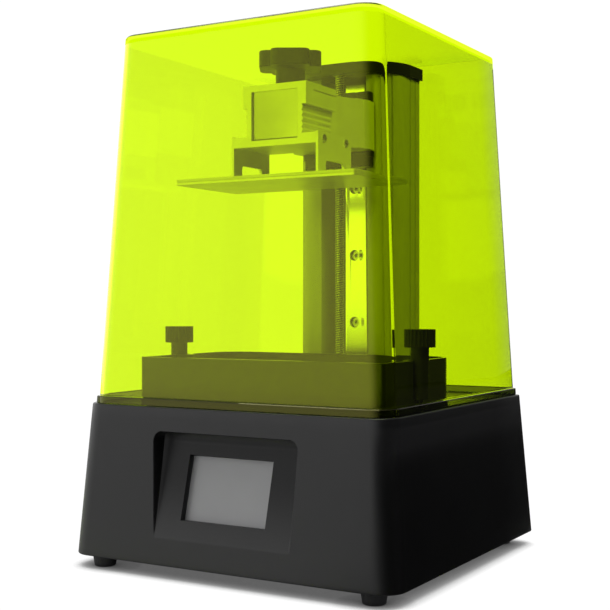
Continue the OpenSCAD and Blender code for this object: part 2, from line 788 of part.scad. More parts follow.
module carriage_arm() color("#8a8e92") difference() {
    union() {
        translate([0, 0, arm_z]) linear_extrude(arm_h) arm_plan();
        translate([-tongue_w / 2, head_y0 + 9, tongue_z0])
            cube([tongue_w, head_y1 - head_y0, tongue_z1 - tongue_z0]);
        translate([-19, arm_back - 1, arm_z]) cube([38, block_face - arm_back + 1, arm_h]);
    }
    translate([0, screw_y, arm_z - 1]) cylinder(h = arm_h + 2, r = 6.2);
    translate([-10, screw_y - 10, arm_top - 3]) cube([20, 16.2, 4]);
    arm_bolt_places() {
        translate([0, 0, -1]) cylinder(h = bolt_seat + 1.1, r = 2.7);
        translate([0, 0, bolt_seat]) cylinder(h = block_face - head_y1 - bolt_seat, r = 4.6);
    }
    translate([0, head_y1 + 22, arm_z - 1]) linear_extrude(arm_h - 6) round_rect(26, 14, 4);
}

module arm_screws() color("#7f8388") arm_bolt_places()
    translate([0, 0, bolt_seat]) cap_screw(2.5, bolt_seat + 6, 4.2, 5);

module arm_upper_cover() color("#141416") difference() {
    translate([0, 0, arm_top]) linear_extrude(10.4) {
        translate([-27, 46]) square([54, arm_back - 46]);
        for (x = [-1, 1]) translate([x * 27, arm_back - 5.2]) circle(5.2);
        translate([-32.2, arm_back - 5.2]) square([64.4, 5.2]);
    }
    translate([0, screw_y, arm_top - 1]) cylinder(h = 13, r = 5.2);
    translate([-5.2, 40, arm_top - 1]) cube([10.4, 10, 13]);
}

// Plate and cup under the arm's root
module arm_lower_cover() color("#141416") difference() {
    union() {
        translate([0, (lower_y0 + arm_back) / 2, arm_z - 5]) slab(70, arm_back - lower_y0, 5, 5);
        translate([0, (lower_y0 + arm_back) / 2, arm_z - 13.4]) slab(66, arm_back - lower_y0, 8.4 + eps, 4);
    }
    translate([0, screw_y, arm_z - 15]) cylinder(h = 20, r = 4.8);
}

module lead_nut() color("#b08a3c") difference() {
    union() {
        translate([0, screw_y, arm_z + 6]) cylinder(h = arm_h - 6, r = 6.2);
        translate([-9.5, screw_y - 9.5, arm_top - 3]) cube([19, 15.6, 3]);
    }
    translate([0, screw_y, arm_z]) cylinder(h = arm_h + 5, r = screw_r + fit_gap);
}

// ---------- build platform ----------

module head_plan(x) { translate([-x, head_y0]) square([2 * x, head_y1 - head_y0]); }

module platform_head() color("#9a9ea2") difference() {
    union() {
        translate([0, 0, waist_z]) linear_extrude(head_z1 - waist_z) head_plan(head_w / 2);
        translate([0, 0, head_z0]) linear_extrude(waist_z - head_z0 + eps) head_plan(head_w / 2 - waist_in);
        translate([0, 0, head_z0]) linear_extrude(flange_t) head_plan(flange_x);
        for (x = [-1, 1], i = [0:rib_n - 1])
            translate([x * (head_w / 2 - waist_in - 1), head_y0, waist_z - rib_r - 0.3 - i * rib_pitch])
                rotate([-90, 0, 0]) cylinder(h = rib_l, r = rib_r);
    }
    head_pocket();
    translate([-tongue_w / 2 - gap, head_y0 + 9 - gap, tongue_z0 - gap])
        cube([tongue_w + 2 * gap, head_y1 - head_y0, tongue_z1 - tongue_z0 + 2 * gap]);
    for (x = [-1, 1]) translate([x * head_w / 2 - 0.8, head_y0 + 12, head_z1 - 7.8])
        cube([1.6, head_y1 - head_y0, 2.6]);
    translate([0, mid_y, tongue_z1 - 1]) cylinder(h = 20, r = 4 + fit_gap);
    bracket_holes() translate([0, 0, -8]) cylinder(h = 9, r = 1.5);
}

// Shallow pocket in the head's front, with a deeper groove along its sides and lower edge
module head_pocket() {
    translate([-pocket_w / 2, head_y0 - 1, head_z0 + 4.9]) {
        cube([pocket_w, pocket_t + 1, pocket_h]);
        cube([pocket_w, pocket_gap_t + 1, pocket_gap]);
        for (x = [0, pocket_w - pocket_gap])
            translate([x, 0, 0]) cube([pocket_gap, pocket_gap_t + 1, pocket_h]);
    }
}

// Places of the side screws, axis pointing out of the head
module bracket_holes() {
    for (x = [-1, 1], y = [-18, 18])
        translate([x * flange_x, bracket_mid + y, head_z0 + flange_t / 2]) rotate([0, x * 90, 0]) children();
}

module foot_holes() {
    for (x = [-1, 1], y = [-18, 18])
        translate([x * (flange_x + bracket_t + 5.4), bracket_mid + y, plate_z + plate_t]) children();
}

module platform_brackets() color("#a2a6aa") difference() {
    for (x = [-1, 1]) mirror([x < 0 ? 1 : 0, 0, 0]) {
        translate([flange_x, head_y0, plate_z + plate_t]) cube([bracket_t, bracket_d, 34.1]);
        translate([flange_x, head_y0, plate_z + plate_t]) cube([bracket_t + foot_w, bracket_d, 2.2]);
    }
    for (x = [-1, 1]) translate([x * (flange_x + 1), bracket_mid, plate_z + plate_t + 7.2])
        rotate([0, 90, 0]) linear_extrude(8, center = true) round_rect(9.6, 30, 3);
    bracket_holes() translate([0, 0, -1]) cylinder(h = 5, r = 1.7);
    foot_holes() translate([0, 0, -1]) cylinder(h = 5, r = 1.7);
}

module bracket_screws() color("#d0d3d6") {
    bracket_holes() translate([0, 0, bracket_t]) pan_screw(1.5, 8, 3.2, 2);
    foot_holes() translate([0, 0, 2.2]) pan_screw(1.5, 4, 3.2, 2);
}

module platform_plate() color("#7c8084") difference() {
    translate([0, mid_y, plate_z + surface_t]) slab(plate_w, plate_d, plate_t - surface_t, 2);
    foot_holes() translate([0, 0, -8]) cylinder(h = 9, r = 1.5);
}

module platform_surface() color("#b4b7ba")
    translate([0, mid_y, plate_z]) slab(plate_w, plate_d, surface_t, 2);

// Hub with a grip of four broad lobes above it
module clamp_knob() color("#1a1a1c") translate([0, mid_y, head_z1 + gap]) difference() {
    union() {
        cylinder(h = knob_h - 1, r = 12);
        translate([0, 0, knob_grip_z]) linear_extrude(knob_h - knob_grip_z)
            for (a = [0, 90]) rotate(knob_turn + a) round_rect(knob_l, knob_lobe_w, knob_lobe_r);
    }
    translate([0, 0, -1]) cylinder(h = 17, r = 4);
}

module knob_stud() color("#8d9094") translate([0, mid_y, tongue_z1 + gap])
    cylinder(h = head_z1 + gap + 16 - tongue_z1 - gap, r = 4);

// ---------- vat ----------

module niche_centres() {
    for (x = [-1, 1]) translate([x * thumb_x, thumb_y]) children();
}

// Outline of the tray, drawn in all round by m
module tray_plan(m) {
    translate([0, vat_mid]) plan(vat_w - 2 * m, vat_d - 2 * m, vat_front_r - m, vat_r - m);
}

module vat_tray() color("#1b1c1e") difference() {
    translate([0, 0, deck_z]) linear_extrude(vat_h) tray_plan(0);
    translate([0, mid_y, deck_z - 1])
        slab(frame_w + 2 * gap, frame_d + 2 * gap, tray_z - deck_z + 1, frame_r + gap);
    translate([0, 0, tray_z + floor_t]) linear_extrude(vat_h) difference() {
        tray_plan(vat_wall);
        niche_centres() circle(niche_r + vat_wall);
        for (x = [-1, 1]) translate([x * (thumb_x + 4), thumb_y])
            square([20, 2 * (niche_r + vat_wall)], center = true);
    }
    translate([0, mid_y, tray_z - 1]) linear_extrude(floor_t + 2) round_rect(film_w, film_d, 6);
    translate([0, 0, tray_z + floor_t]) linear_extrude(vat_h) {
        niche_centres() circle(niche_r);
        for (x = [-1, 1]) translate([x * (thumb_x + 6), thumb_y]) square([12, 2 * niche_r], center = true);
    }
    niche_centres() translate([0, 0, deck_z - 1]) cylinder(h = tray_z + floor_t - deck_z + 2, r = 3.3);
    film_places() translate([0, 0, tray_z - 1]) cylinder(h = 3.2, r = 1.3);
}

module vat_film() color([0.85, 0.9, 0.95, 0.5]) difference() {
    translate([0, mid_y, deck_z + frame_t]) slab(film_w + 14, film_d + 14, film_t, 8);
    film_places() translate([0, 0, deck_z + frame_t - 1]) cylinder(h = 3, r = 1.5);
}

module film_frame() color("#5d6064") difference() {
    translate([0, mid_y, deck_z]) slab(frame_w, frame_d, frame_t, frame_r);
    translate([0, mid_y, deck_z - 1]) slab(film_w, film_d, frame_t + 2, 6);
    film_places() translate([0, 0, deck_z - 1]) {
        cylinder(h = 6, r = 1.3);
        cylinder(h = 2, r = 2.5);
    }
}

module film_places() {
    for (x = [-3:3], y = [-1, 1]) translate([x * 28, mid_y + y * (film_d / 2 + 4), 0]) children();
    for (x = [-1, 1], y = [-1, 1]) translate([x * (film_w / 2 + 4), mid_y + y * 26, 0]) children();
}

module film_screws() color("#9a9da1") film_places() translate([0, 0, deck_z + 1]) rotate([180, 0, 0]) {
    cylinder(h = 0.8, r = 2.4);
    translate([0, 0, -3.2]) cylinder(h = 3.3, r = 1.2);
}

// Big-headed screw: knurled head, plain shank, threaded tip that enters the insert in the deck
module thumbscrew() {
    translate([0, thumb_y, 0]) {
        translate([0, 0, thumb_head_z]) difference() {
            cylinder(h = thumb_head_t, r = thumb_head_r);
            for (i = [0:23]) rotate(i * 15) translate([thumb_head_r + 0.5, 0, 1])
                cylinder(h = thumb_head_t, r = 1, $fn = 16);
        }
        translate([0, 0, tray_z + floor_t + gap])
            cylinder(h = thumb_head_z - tray_z - floor_t - gap + eps, r = thumb_shank_r);
        translate([0, 0, deck_z - 11]) cylinder(h = tray_z + floor_t + gap - deck_z + 12, r = 3);
    }
}

module thumbscrew_left() color("#141416") translate([-thumb_x, 0, 0]) thumbscrew();

module thumbscrew_right() color("#141416") translate([thumb_x, 0, 0]) thumbscrew();

// ---------- cover ----------

module hood() color([0.78, 0.95, 0.02, 0.55]) translate([0, 0, deck_z]) difference() {
    union() {
        taper(0, hood_h, hood_w + 0.6, hood_d + 0.4, hood_top_w, hood_top_d,
              hood_front_r, hood_back_r, hood_y_shift);
        linear_extrude(rim_h)
            plan(hood_w + 2 * rim_out, hood_d + 2 * rim_out, hood_front_r + rim_out, hood_back_r);
    }
    taper(-1, hood_h - hood_t - 0.5, hood_w + 0.6 - 2 * hood_t, hood_d + 0.4 - 2 * hood_t,
          hood_top_w - 2 * hood_t, hood_top_d - 2 * hood_t, hood_front_r - hood_t, hood_back_r - hood_t,
          hood_y_shift);
}

base_shell();
bottom_plate();
bottom_screws();
rubber_feet();
deck_plate();
deck_screws();
screw_inserts();
lcd_panel();
lcd_cover_glass();
light_box();
led_board();
led_lenses();
heat_sink();
fan_frame();
fan_rotor();
mainboard();
board_posts();
rear_panel();
rear_panel_screws();
power_socket();
switch_body();
power_rocker();
usb_socket();
touch_panel();
touch_frame();
display_board();
lcd_ribbon();
z_column();
column_cap();
linear_rail();
rail_screws();
stepper_motor();
motor_posts();
end_stop();
screw_bearing();
lead_screw();
shaft_coupler();
motor_shaft();
column_screws();
guide_block();
guide_block_caps();
carriage_arm();
arm_upper_cover();
arm_lower_cover();
arm_screws();
lead_nut();
platform_head();
platform_brackets();
bracket_screws();
platform_plate();
platform_surface();
clamp_knob();
knob_stud();
vat_tray();
vat_film();
film_frame();
film_screws();
thumbscrew_left();
thumbscrew_right();
hood();
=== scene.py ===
"""Looks of the desktop resin printer: finishes, thread, soft edges and the tinted cover.

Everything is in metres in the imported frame: +Z is up, the touch screen faces -Y and the feet stand
on Z = 0.
"""
import json
import math

import bmesh
import bpy
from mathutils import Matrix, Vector

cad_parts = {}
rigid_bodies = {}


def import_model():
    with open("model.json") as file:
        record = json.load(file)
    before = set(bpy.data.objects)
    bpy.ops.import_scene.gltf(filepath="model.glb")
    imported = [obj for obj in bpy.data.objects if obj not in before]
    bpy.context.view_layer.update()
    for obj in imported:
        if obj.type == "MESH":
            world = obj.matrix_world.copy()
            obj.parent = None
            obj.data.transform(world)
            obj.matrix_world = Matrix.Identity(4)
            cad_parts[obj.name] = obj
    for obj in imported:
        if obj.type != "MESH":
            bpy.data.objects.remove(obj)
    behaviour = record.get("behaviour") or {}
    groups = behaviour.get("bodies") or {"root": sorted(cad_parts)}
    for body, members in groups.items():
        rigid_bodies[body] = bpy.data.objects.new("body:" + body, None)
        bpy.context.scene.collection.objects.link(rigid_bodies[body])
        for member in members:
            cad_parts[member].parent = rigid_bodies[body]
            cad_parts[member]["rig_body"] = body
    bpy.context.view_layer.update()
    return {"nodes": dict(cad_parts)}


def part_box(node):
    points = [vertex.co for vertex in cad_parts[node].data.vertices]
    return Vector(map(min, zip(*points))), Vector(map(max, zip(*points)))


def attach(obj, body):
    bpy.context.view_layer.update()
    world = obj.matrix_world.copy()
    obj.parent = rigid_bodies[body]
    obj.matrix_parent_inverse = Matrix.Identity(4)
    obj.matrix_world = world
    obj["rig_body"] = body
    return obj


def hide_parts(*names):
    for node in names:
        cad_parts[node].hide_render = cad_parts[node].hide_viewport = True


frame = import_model()
MM = 0.001

# ---------- sizes, read from the frame where a node gives them ----------
BASE_LOW, BASE_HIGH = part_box("base_shell")
DECK_LOW, DECK_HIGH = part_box("deck_plate")
HOOD_LOW, HOOD_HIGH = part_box("hood")
SCREW_LOW, SCREW_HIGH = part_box("lead_screw")
KNOB_LOW, KNOB_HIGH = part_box("clamp_knob")

# Housing of the base
BASE_WALL = 3 * MM
BASE_LEAN = 8.3 * MM                # how far each side leans in over the height of the base
FRONT_R, BACK_R = 19 * MM, 4 * MM   # upright corners
LEAST_R = 1 * MM                    # smallest corner of a ring that is moved inwards
EDGE_R = 1.2 * MM                   # rounding of the lowest and highest edge
POCKET_R = 12 * MM                  # corners of the pocket that holds the deck plate
LEDGE_W, LEDGE_T, LEDGE_R = 7 * MM, 2 * MM, 8 * MM
REAR_HALF = 105 * MM                # half width of the opening behind the rear panel
REAR_LOW, REAR_HIGH = 25.96 * MM, 109.76 * MM

# Recess in the housing's front, with the window for the touch screen
SCREEN_TILT = math.radians(14.5)
PANEL_Y, PANEL_Z = -135.3 * MM, 40 * MM     # a point on the recess's tilted panel
RECESS_LOW, RECESS_TOP = 30 * MM, 112 * MM
RECESS_HALF_LOW, RECESS_HALF_TOP = 61 * MM, 65 * MM
RECESS_R = 8 * MM
RECESS_LIP = 1.4 * MM               # width of the step from the front face down to the panel
SIDE_FILLET, TOP_FILLET = 0.12, 0.35        # share of the depth that the fillets fill at the walls
TOP_FILLET_H = 10 * MM
RECESS_REACH = 30 * MM              # further back than any point of the recess
WINDOW_HALF = 37.8 * MM
WINDOW_LOW, WINDOW_HIGH = 45.5 * MM, 94.2 * MM

# Cover
HOOD_WALL = 2.5 * MM
HOOD_ROOF = 3 * MM
HOOD_RIM = 6 * MM
HOOD_RIM_OUT = 2.3 * MM
HOOD_HALF_LOW = (132.8 * MM, 126.6 * MM)
HOOD_HALF_TOP = (116.7 * MM, 115.5 * MM)
HOOD_SHIFT = 2.3 * MM               # the top sits this much further back than the rim
HOOD_FRONT_R, HOOD_BACK_R, HOOD_TOP_R = 18 * MM, 4 * MM, 3 * MM
HOOD_LEAST_R = 0.5 * MM
HOOD_EDGE = 7 * MM                  # height of the band under the top that shows no mirror images

# Lead screw
SCREW_R, ROOT_R = 4 * MM, 2.9 * MM
JOURNAL_R, JOURNAL_L = 3 * MM, 5.5 * MM
THREAD_PITCH = 2 * MM
THREAD_LEAD = 2 * THREAD_PITCH      # two starts
THREAD_FLANK, THREAD_FLAT = 2.4, 0.7        # steepness of the flanks, width of the groove's floor

# Clamp knob
KNOB_HALF_L, KNOB_HALF_W = 25.1 * MM, 15.6 * MM
KNOB_R, KNOB_FILLET = 6 * MM, 1.2 * MM
KNOB_TURN = math.radians(30)
KNOB_SOFT = 1.2 * MM                # rounding of the grip's rims
HUB_R, HUB_H = 12 * MM, 15 * MM
HUB_CHAMFER, HUB_FLARE = 0.4 * MM, 2 * MM   # at its foot, and where it meets the grip
GROOVE_OUT_R, GROOVE_R, GROOVE_DEPTH = 15 * MM, 13.6 * MM, 1 * MM   # in the top, round the button
BUTTON_R, BUTTON_TOP_R, BUTTON_DROP = 9 * MM, 8.4 * MM, 0.3 * MM

# Light and camera
LIGHT_FROM = (-0.97, -0.25, 0.1)    # the bright side of the room
BRIGHT_SIDE, DARK_SIDE = 1.55, 0.015
SIDE_FADE = (-0.6, 0.25)            # the room goes from dark to bright between these cosines
UPPER_SHARE = 0.5                   # strength of the room high up, as a share of that at eye level
UPPER_FADE = (0.1, 0.45)            # it falls to that between these values of the direction's Z
BACKDROP = 1.05                     # strength of the white that the camera sees
PAINTED_SHADOW_REACH = 22 * MM             # the painted contact shadow darkens the floor where the object is closer than this
FLOOR_HALF = 6.0
BESIDE_BASE = BASE_HIGH.x + 7 * MM  # where the flags on the right begin
FLAG_HEIGHT = 122 * MM

CAMERA_PLACE = (0.49548, -0.86071, 0.21127)
CAMERA_TURN, CAMERA_DIP = 30.3131, 0.0488   # degrees to the right of the front, and below level
CAMERA_LENS, CAMERA_SENSOR = 69.655, 36     # millimetres
CAMERA_SHIFT = (0.00234, -0.0029)


# ---------- meshes ----------

CORNER_STEPS, SIDE_STEPS, BACK_CORNER_STEPS = 14, 4, 4      # pieces of each stretch of an outline


def linked(name, data):
    obj = bpy.data.objects.new(name, data)
    bpy.context.scene.collection.objects.link(obj)
    return obj


def new_object(name, mesh, sharp):
    """Smooth-shaded object whose edges over sharp degrees stay sharp."""
    mesh.shade_smooth()
    mesh.set_sharp_from_angle(angle=math.radians(sharp))
    return linked(name, mesh)


def from_faces(name, verts, faces, sharp):
    mesh = bpy.data.meshes.new(name)
    mesh.from_pydata([tuple(v) for v in verts], [], faces)
    mesh.validate()
    work = bmesh.new()
    work.from_mesh(mesh)
    bmesh.ops.recalc_face_normals(work, faces=work.faces)
    work.to_mesh(mesh)
    work.free()
    return new_object(name, mesh, sharp)


def steps(start, stop, count):
    """count + 1 evenly spaced values."""
    return [start + (stop - start) * i / count for i in range(count + 1)]


def arc(cx, cy, r, from_deg, to_deg, count):
    angles = [math.radians(a) for a in steps(from_deg, to_deg, count)]
    return [(cx + r * math.cos(a), cy + r * math.sin(a)) for a in angles]


def quarter(radius, degrees):
    """(distance from the end face, distance inwards) of points on the rounding of its edge."""
    angles = [math.radians(a) for a in degrees]
    return [(radius * (1 - math.sin(a)), radius * (1 - math.cos(a))) for a in angles]


def plan(half_w, front, back, r_front, r_back, front_x, back_x, corner=CORNER_STEPS, side=SIDE_STEPS):
    """Outline of the base and the cover, anticlockwise from the left end of the front face.

    front_x and back_x give the columns of points on the two straight faces, from left to right.
    """
    points = [(x, front) for x in front_x]
    points += arc(half_w - r_front, front + r_front, r_front, -90, 0, corner)
    points += [(half_w, y) for y in steps(front + r_front, back - r_back, side)[1:-1]]
    points += arc(half_w - r_back, back - r_back, r_back, 0, 90, BACK_CORNER_STEPS)
    points += [(x, back) for x in reversed(back_x)]
    points += arc(-half_w + r_back, back - r_back, r_back, 90, 180, BACK_CORNER_STEPS)
    points += [(-half_w, y) for y in steps(back - r_back, front + r_front, side)[1:-1]]
    points += arc(-half_w + r_front, front + r_front, r_front, 180, 270, corner)
    return points


def turned_ring(cx, cy, z, radii):
    """Ring of points round (cx, cy), with one radius for each direction."""
    angles = [k / len(radii) * math.tau for k in range(len(radii))]
    return [(cx + r * math.cos(a), cy + r * math.sin(a), z) for a, r in zip(angles, radii)]


def loft(rows, closed_rows, skip=lambda row, col: False):
    """Quads between rings of equal length. closed_rows also joins the last ring to the first."""
    count = len(rows[0])
    verts = [v for row in rows for v in row]
    faces = []
    for r in range(len(rows) - (0 if closed_rows else 1)):
        nxt = (r + 1) % len(rows)
        for c in range(count):
            if not skip(r, c):
                d = (c + 1) % count
                faces.append((r * count + c, r * count + d, nxt * count + d, nxt * count + c))
    return verts, faces


def lid(row, count, flipped=False):
    """One face that closes a ring of a loft."""
    ring = tuple(range(row * count, (row + 1) * count))
    return ring[::-1] if flipped else ring


def closed_loft(rows):
    """A loft with a lid on its first and last ring."""
    verts, faces = loft(rows, False)
    count = len(rows[0])
    return verts, faces + [lid(0, count, flipped=True), lid(len(rows) - 1, count)]


def set_finishes(obj, *finishes):
    obj.data.materials.clear()
    for finish in finishes:
        obj.data.materials.append(FINISH[finish])


def stand_in(obj, node, *finishes):
    """Shows obj in the place of a CAD node: same body, with the given finishes, and the node hidden."""
    set_finishes(obj, *finishes)
    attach(obj, frame["nodes"][node]["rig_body"])
    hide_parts(node)


def softened(node, width, finish):
    """A copy of a CAD node with merged faces and edges softened by width, in the node's place."""
    mesh = frame["nodes"][node].data.copy()
    work = bmesh.new()
    work.from_mesh(mesh)
    bmesh.ops.remove_doubles(work, verts=work.verts, dist=0.002 * MM)
    bmesh.ops.dissolve_limit(work, angle_limit=math.radians(0.6), verts=work.verts, edges=work.edges)
    work.to_mesh(mesh)
    work.free()
    obj = new_object(node + "_body", mesh, sharp=32)
    soften = obj.modifiers.new("soft_edges", "BEVEL")
    soften.width = width
    soften.segments = 2
    soften.limit_method = "ANGLE"
    soften.angle_limit = math.radians(38)
    soften.harden_normals = True
    soften.use_clamp_overlap = True
    stand_in(obj, node, finish)


# ---------- material helpers ----------

def principled(name, colour, rough, metal=0.0, specular=0.5, coat=0.0):
    material = bpy.data.materials.new(name)
    material.use_nodes = True
    shader = material.node_tree.nodes["Principled BSDF"]
    shader.inputs["Base Color"].default_value = (*colour, 1)
    shader.inputs["Roughness"].default_value = rough
    shader.inputs["Metallic"].default_value = metal
    shader.inputs["Specular IOR Level"].default_value = specular
    shader.inputs["Coat Weight"].default_value = coat
    shader.inputs["Coat Roughness"].default_value = 0.1
    return material, material.node_tree, shader


def coords(tree, scale=(1, 1, 1)):
    place = tree.nodes.new("ShaderNodeTexCoord")
    mapping = tree.nodes.new("ShaderNodeMapping")
    mapping.inputs["Scale"].default_value = scale
    tree.links.new(place.outputs["Object"], mapping.inputs["Vector"])
    return mapping.outputs["Vector"]


def upwards(tree, vector):
    parts = tree.nodes.new("ShaderNodeSeparateXYZ")
    tree.links.new(vector, parts.inputs[0])
    return parts.outputs["Z"]


def noise_at(tree, vector, scale, detail=3.0):
    node = tree.nodes.new("ShaderNodeTexNoise")
    node.inputs["Scale"].default_value = scale
    node.inputs["Detail"].default_value = detail
    node.inputs["Roughness"].default_value = 0.55   # of the noise's own detail
    tree.links.new(vector, node.inputs["Vector"])
    return node.outputs["Fac"]


def ramp(tree, factor, stops):
    """Colour ramp through (position, colour) stops, at least two."""
    node = tree.nodes.new("ShaderNodeValToRGB")
    first, last = node.color_ramp.elements
    first.position, first.color = stops[0][0], (*stops[0][1], 1)
    last.position, last.color = stops[-1][0], (*stops[-1][1], 1)
    for place, colour in stops[1:-1]:
        node.color_ramp.elements.new(place).color = (*colour, 1)
    tree.links.new(factor, node.inputs["Fac"])
    return node.outputs["Color"]


def to_range(tree, factor, low, high, start=0.0, end=1.0, smooth=False):
    """Maps a factor that goes from start to end onto low to high."""
    node = tree.nodes.new("ShaderNodeMapRange")
    if smooth:
        node.interpolation_type = "SMOOTHSTEP"
    node.inputs["From Min"].default_value = start
    node.inputs["From Max"].default_value = end
    node.inputs["To Min"].default_value = low
    node.inputs["To Max"].default_value = high
    tree.links.new(factor, node.inputs["Value"])
    return node.outputs["Result"]


def maths(tree, operation, one, other):
    node = tree.nodes.new("ShaderNodeMath")
    node.operation = operation
    tree.links.new(one, node.inputs[0])
    tree.links.new(other, node.inputs[1])
    return node.outputs[0]


def mixed(tree, factor, first, second, sink):
    """Shows the second shader where factor is 1 and the first elsewhere."""
    mix = tree.nodes.new("ShaderNodeMixShader")
    tree.links.new(factor, mix.inputs["Fac"])
    tree.links.new(first.outputs[0], mix.inputs[1])
    tree.links.new(second.outputs[0], mix.inputs[2])
    tree.links.new(mix.outputs[0], sink.inputs["Surface"])


def ray_kinds(tree, first, second):
    """1 for rays of either kind, else 0."""
    path = tree.nodes.new("ShaderNodeLightPath")
    return maths(tree, "MAXIMUM", path.outputs[first], path.outputs[second])


def bump(tree, shader, height, distance, strength):
    node = tree.nodes.new("ShaderNodeBump")
    node.inputs["Distance"].default_value = distance
    node.inputs["Strength"].default_value = strength
    tree.links.new(height, node.inputs["Height"])
    tree.links.new(node.outputs["Normal"], shader.inputs["Normal"])


def tinted(tree, shader, factor, colour, spread):
    """Lets a noise vary the base colour by +-spread."""
    low = tuple(c * (1 - spread) for c in colour)
    high = tuple(min(1, c * (1 + spread)) for c in colour)
    tree.links.new(ramp(tree, factor, [(0.3, low), (0.7, high)]), shader.inputs["Base Color"])


def roughened(tree, shader, factor, low, high):
    """Lets a noise vary the roughness from low to high."""
    tree.links.new(to_range(tree, factor, low, high), shader.inputs["Roughness"])


# ---------- finishes; depth is how deep their relief is, in millimetres ----------

def moulded(name, colour, rough, grain=2600, depth=0.05, spread=0.06, specular=0.5, coat=0.0):
    """Moulded plastic: fine spark-eroded grain, a slight cloudiness in colour and gloss."""
    material, tree, shader = principled(name, colour, rough, specular=specular, coat=coat)
    vector = coords(tree)
    tinted(tree, shader, noise_at(tree, vector, 24, 2), colour, spread)
    roughened(tree, shader, noise_at(tree, vector, 60), rough * 0.88, rough * 1.12)
    bump(tree, shader, noise_at(tree, vector, grain, 2), depth * MM, 0.5)
    return material


def recess_with_painted_shade(name, colour, rough, low_gloss, high_gloss):
    """The housing's plastic in the recess round the screen: its gloss fades towards the top, which
    paints the shade under the recess's top wall.
    """
    fade_from, fade_to = 29 * MM, 82 * MM
    material = moulded(name, colour, rough, depth=0.03)
    tree = material.node_tree
    height = upwards(tree, tree.nodes.new("ShaderNodeTexCoord").outputs["Object"])
    # painted shade: less gloss, so a darker panel, towards the recess's top
    gloss = to_range(tree, height, low_gloss, high_gloss, fade_from, fade_to, smooth=True)
    tree.links.new(gloss, tree.nodes["Principled BSDF"].inputs["Specular IOR Level"])
    return material


def brushed(name, colour, rough, along=(1, 1, 0.02), scale=1800, metal=1.0, depth=0.02, spread=0.08):
    """Metal whose fine lines run along the axis with the small factor."""
    material, tree, shader = principled(name, colour, rough, metal)
    lines = noise_at(tree, coords(tree, along), scale, 4)
    tinted(tree, shader, lines, colour, spread)
    roughened(tree, shader, lines, rough * 0.75, rough * 1.3)
    bump(tree, shader, lines, depth * MM, 0.35)
    return material


def blasted(name, colour, rough, metal, scale=3200, depth=0.03, spread=0.05):
    """Bead-blasted and anodised metal: a fine even sparkle with no direction."""
    material, tree, shader = principled(name, colour, rough, metal)
    vector = coords(tree)
    tinted(tree, shader, noise_at(tree, vector, 45, 3), colour, spread)
    fine = noise_at(tree, vector, scale, 2)
    roughened(tree, shader, fine, rough * 0.85, rough * 1.15)
    bump(tree, shader, fine, depth * MM, 0.5)
    return material


def acrylic(name, colour, clear_from=None):
    """Clear tinted acrylic. Lamps and bounced light pass it as a plain tint, so what it covers is lit.

    Above clear_from (0 is seen square on, 1 edge on) it stays see-through instead of turning into a
    mirror.
    """
    fade = 0.25
    material, tree, shader = principled(name, colour, 0.0)
    shader.inputs["Transmission Weight"].default_value = 1.0
    shader.inputs["IOR"].default_value = 1.49
    shader.inputs["Specular Tint"].default_value = (1, 0.95, 0.25, 1)
    clear = tree.nodes.new("ShaderNodeBsdfTransparent")
    clear.inputs["Color"].default_value = (*(math.sqrt(c) for c in colour), 1)
    factor = ray_kinds(tree, "Is Shadow Ray", "Is Reflection Ray")
    if clear_from is not None:
        facing = tree.nodes.new("ShaderNodeLayerWeight").outputs["Facing"]
        edge_on = to_range(tree, facing, 0, 1, clear_from, clear_from + fade)
        factor = maths(tree, "MAXIMUM", factor, edge_on)
    mixed(tree, factor, shader, clear, tree.nodes["Material Output"])
    return material


def circuit(name, colour):
    """Solder mask with fine raised tracks."""
    material, tree, shader = principled(name, colour, 0.35)
    cells = tree.nodes.new("ShaderNodeTexVoronoi")
    cells.distance = "CHEBYCHEV"
    cells.inputs["Scale"].default_value = 260
    tree.links.new(coords(tree), cells.inputs["Vector"])
    pale = tuple(min(1, c * 2.2 + 0.02) for c in colour)
    tracks = ramp(tree, cells.outputs["Distance"], [(0.35, colour), (0.42, pale), (0.5, colour)])
    tree.links.new(tracks, shader.inputs["Base Color"])
    bump(tree, shader, cells.outputs["Distance"], 0.04 * MM, 0.4)
    return material


BLACK = (0.005, 0.005, 0.0052)
# the last gloss is the lower one at the recess's top, painted shade
SHELL_ROUGH, SHELL_GLOSS, RECESS_SHADE_GLOSS = 0.34, 0.42, 0.24
LIME = (0.80, 0.97, 0.02)
RIM_PAINTED_DARK_LIME = (0.03, 0.036, 0.002)    # painted dark tint for acrylic seen along its length, where it looks dark
EVEN = (1, 1, 1)                    # lines without a direction

